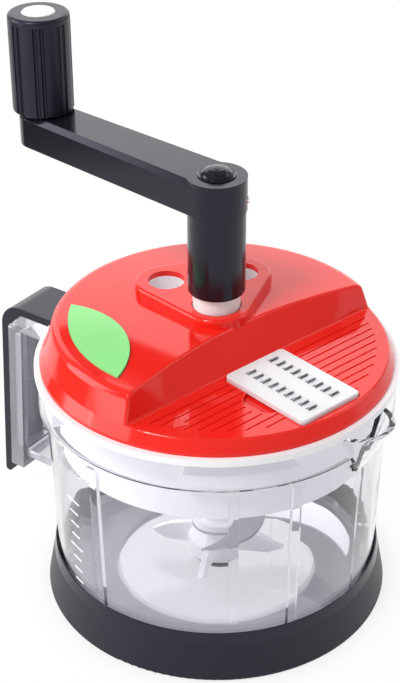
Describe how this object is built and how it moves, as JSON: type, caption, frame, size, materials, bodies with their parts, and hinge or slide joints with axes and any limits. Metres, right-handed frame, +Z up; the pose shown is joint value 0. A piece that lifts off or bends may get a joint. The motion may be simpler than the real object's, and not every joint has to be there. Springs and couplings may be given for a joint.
{
  "type": "hand-cranked food chopper",
  "caption": "Hand-cranked food chopper: clear bowl with side handle on a black base ring, red lid with grater plate, central column, crank and steel blades.",
  "frame": {"origin": "on the bowl's axis, at the underside of the base ring", "axes": "+Z up along the bowl's and the crank's axis; +X from the axis away from the bowl's handle; +Y completes a right-handed frame"},
  "size_m": [0.1975, 0.1496, 0.2346],
  "materials": {
    "black_satin": "satin",
    "black_gloss": "gloss",
    "clear_plastic": "gloss",
    "red_gloss": "gloss",
    "white_plastic": "satin",
    "gear_plastic": "satin",
    "bearing_plastic": "satin",
    "polished_steel": "polished",
    "blade_steel": "satin",
    "screw_steel": "satin",
    "leaf_green": "satin"
  },
  "bodies": {
    "base": {"base_ring": "black_satin"},
    "bowl": {"bowl": "clear_plastic", "pivot_pin": "polished_steel", "handle_cover": "black_gloss"},
    "lid": {"inner_lid": "white_plastic", "lid_screws": "screw_steel", "lid_cover": "red_gloss", "leaf_inlay": "leaf_green", "column": "white_plastic", "column_screws": "screw_steel", "lower_bush": "bearing_plastic", "upper_bush": "bearing_plastic", "output_bush": "bearing_plastic", "planet_pins": "polished_steel"},
    "grater": {"grater_plate": "white_plastic", "grater_blade": "blade_steel"},
    "drive": {"drive_shaft": "polished_steel", "ring_gear": "gear_plastic", "crank_arm": "black_gloss", "crank_sleeve": "black_gloss", "hub_cap": "black_gloss", "cross_pin": "polished_steel", "grip_spindle": "polished_steel"},
    "grip": {"grip": "black_satin", "grip_cap": "white_plastic"},
    "planet_a": {"planet_gear_a": "gear_plastic"},
    "planet_b": {"planet_gear_b": "gear_plastic"},
    "planet_c": {"planet_gear_c": "gear_plastic"},
    "output": {"sun_gear": "gear_plastic", "drive_socket": "white_plastic"},
    "blades": {"blade_column": "white_plastic", "blade_collars": "white_plastic", "lower_blade": "blade_steel", "middle_blade": "blade_steel", "upper_blade": "blade_steel"}
  },
  "joints": [
    {"name": "bowl_lift", "type": "slide", "parent": "base", "child": "bowl", "axis": [0, 0, 1], "range_m": [0, 0.06]},
    {"name": "lid_lift", "type": "slide", "parent": "bowl", "child": "lid", "axis": [0, 0, 1], "range_m": [0, 0.11]},
    {"name": "grater_lift", "type": "slide", "parent": "lid", "child": "grater", "axis": [0, 0, 1], "range_m": [0, 0.03]},
    {"name": "crank_turn", "type": "hinge", "parent": "lid", "child": "drive", "pos_m": [0, 0, 0], "axis": [0, 0, 1], "continuous": true},
    {"name": "grip_spin", "type": "hinge", "parent": "drive", "child": "grip", "pos_m": [-0.09623, 0.01045, 0], "axis": [0, 0, 1], "continuous": true},
    {"name": "planet_a_spin", "type": "hinge", "parent": "lid", "child": "planet_a", "pos_m": [0.00952, -0.00211, 0], "axis": [0, 0, 1], "continuous": true},
    {"name": "planet_b_spin", "type": "hinge", "parent": "lid", "child": "planet_b", "pos_m": [-0.00293, 0.0093, 0], "axis": [0, 0, 1], "continuous": true},
    {"name": "planet_c_spin", "type": "hinge", "parent": "lid", "child": "planet_c", "pos_m": [-0.00659, -0.00719, 0], "axis": [0, 0, 1], "continuous": true},
    {"name": "output_turn", "type": "hinge", "parent": "lid", "child": "output", "pos_m": [0, 0, 0], "axis": [0, 0, 1], "continuous": true},
    {"name": "blades_turn", "type": "hinge", "parent": "bowl", "child": "blades", "pos_m": [0, 0, 0], "axis": [0, 0, 1], "continuous": true}
  ],
  "couplings": [
    {"joint": "planet_a_spin", "follows": "crank_turn", "ratio": 3},
    {"joint": "planet_b_spin", "follows": "crank_turn", "ratio": 3},
    {"joint": "planet_c_spin", "follows": "crank_turn", "ratio": 3},
    {"joint": "output_turn", "follows": "crank_turn", "ratio": -3},
    {"joint": "blades_turn", "follows": "crank_turn", "ratio": -3}
  ]
}
